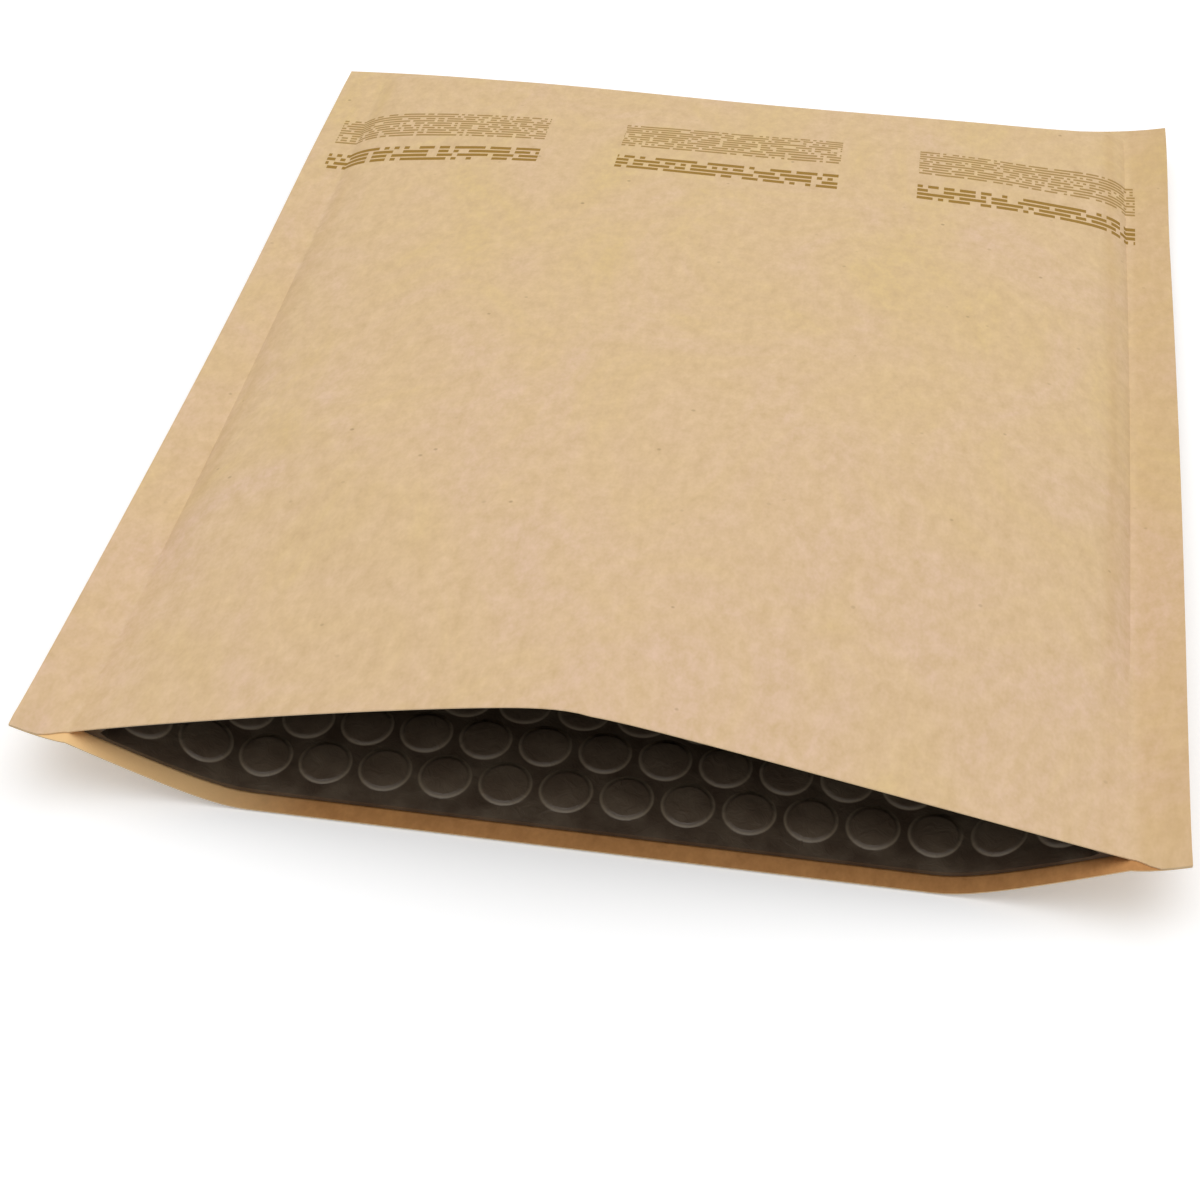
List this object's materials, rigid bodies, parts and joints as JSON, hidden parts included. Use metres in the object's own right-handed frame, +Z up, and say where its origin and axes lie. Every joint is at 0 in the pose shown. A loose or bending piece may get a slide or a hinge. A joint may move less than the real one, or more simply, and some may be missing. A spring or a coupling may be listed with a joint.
{
  "type": "padded envelope",
  "caption": "Brown kraft mailing envelope with a bubble-film lining, lying flat with its mouth held open, for posting small goods.",
  "frame": {"origin": "on the surface that the envelope lies on, under the middle of its length and width", "axes": "+Y from the open mouth to the closed fold, +Z up from the back panel to the front panel, +X to the right when looking into the envelope's mouth along +Y"},
  "size_m": [0.2158, 0.2816, 0.0304],
  "materials": {
    "kraft_paper": "matt brown kraft paper, mottled by its fibres",
    "bubble_film": "soft sheen, milky polyethylene film"
  },
  "bodies": {
    "root": {"kraft_wrapper": "kraft_paper", "bubble_lining": "bubble_film"}
  },
  "joints": []
}
